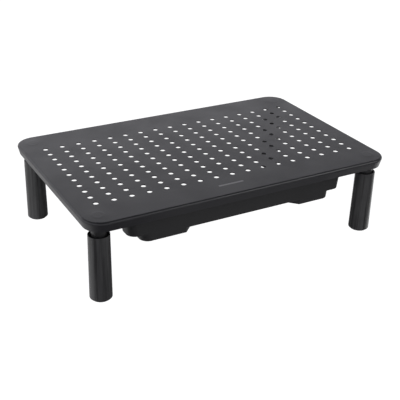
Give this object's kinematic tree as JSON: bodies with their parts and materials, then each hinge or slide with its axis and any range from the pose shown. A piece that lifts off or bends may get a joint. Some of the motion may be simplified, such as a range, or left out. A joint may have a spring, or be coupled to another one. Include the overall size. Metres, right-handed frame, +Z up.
{
  "type": "monitor riser stand",
  "caption": "Low perforated steel shelf with a turned-down rim, telescopic twist-lock round legs and a shallow sliding pen drawer under its front edge.",
  "frame": {"origin": "middle of the footprint on the desk, under the feet", "axes": "+X along the long edge to the user's right, +Y to the back, +Z up"},
  "size_m": [0.3706, 0.2366, 0.096],
  "materials": {
    "painted_steel": "satin black powder coat",
    "sleeve_plastic": "matt moulded black",
    "column_plastic": "satin moulded black",
    "drawer_plastic": "fine-textured moulded black",
    "nylon": "natural nylon",
    "rubber": "matt",
    "zinc_steel": "zinc plated",
    "brass": "turned, knurled"
  },
  "bodies": {
    "platform": {"top_plate": "painted_steel", "leg_studs": "zinc_steel", "leg_inserts": "brass", "drawer_runner_left": "painted_steel", "drawer_runner_right": "painted_steel", "runner_weld_nuts": "zinc_steel", "runner_screws": "zinc_steel", "corner_plate_front_left": "painted_steel", "corner_plate_front_right": "painted_steel", "corner_plate_rear_left": "painted_steel", "corner_plate_rear_right": "painted_steel", "leg_column_front_left": "column_plastic", "leg_column_front_right": "column_plastic", "leg_column_rear_left": "column_plastic", "leg_column_rear_right": "column_plastic"},
    "ring_front_left": {"glide_ring_front_left": "nylon"},
    "foot_front_left": {"foot_sleeve_front_left": "sleeve_plastic", "foot_pad_front_left": "rubber"},
    "ring_front_right": {"glide_ring_front_right": "nylon"},
    "foot_front_right": {"foot_sleeve_front_right": "sleeve_plastic", "foot_pad_front_right": "rubber"},
    "ring_rear_left": {"glide_ring_rear_left": "nylon"},
    "foot_rear_left": {"foot_sleeve_rear_left": "sleeve_plastic", "foot_pad_rear_left": "rubber"},
    "ring_rear_right": {"glide_ring_rear_right": "nylon"},
    "foot_rear_right": {"foot_sleeve_rear_right": "sleeve_plastic", "foot_pad_rear_right": "rubber"},
    "drawer": {"pen_drawer": "drawer_plastic"}
  },
  "joints": [
    {"name": "leg_twist_front_left", "type": "hinge", "parent": "platform", "child": "ring_front_left", "pos_m": [-0.1675, -0.099, 0.0077], "axis": [0, 0, 1], "range_deg": [0, 35]},
    {"name": "leg_height_front_left", "type": "slide", "parent": "ring_front_left", "child": "foot_front_left", "axis": [0, 0, -1], "range_m": [0, 0.04]},
    {"name": "leg_twist_front_right", "type": "hinge", "parent": "platform", "child": "ring_front_right", "pos_m": [0.1675, -0.099, 0.0077], "axis": [0, 0, 1], "range_deg": [0, 35]},
    {"name": "leg_height_front_right", "type": "slide", "parent": "ring_front_right", "child": "foot_front_right", "axis": [0, 0, -1], "range_m": [0, 0.04]},
    {"name": "leg_twist_rear_left", "type": "hinge", "parent": "platform", "child": "ring_rear_left", "pos_m": [-0.1675, 0.099, 0.0077], "axis": [0, 0, 1], "range_deg": [0, 35]},
    {"name": "leg_height_rear_left", "type": "slide", "parent": "ring_rear_left", "child": "foot_rear_left", "axis": [0, 0, -1], "range_m": [0, 0.04]},
    {"name": "leg_twist_rear_right", "type": "hinge", "parent": "platform", "child": "ring_rear_right", "pos_m": [0.1675, 0.099, 0.0077], "axis": [0, 0, 1], "range_deg": [0, 35]},
    {"name": "leg_height_rear_right", "type": "slide", "parent": "ring_rear_right", "child": "foot_rear_right", "axis": [0, 0, -1], "range_m": [0, 0.04]},
    {"name": "drawer_slide", "type": "slide", "parent": "platform", "child": "drawer", "axis": [0, -1, 0], "range_m": [0, 0.038]}
  ]
}
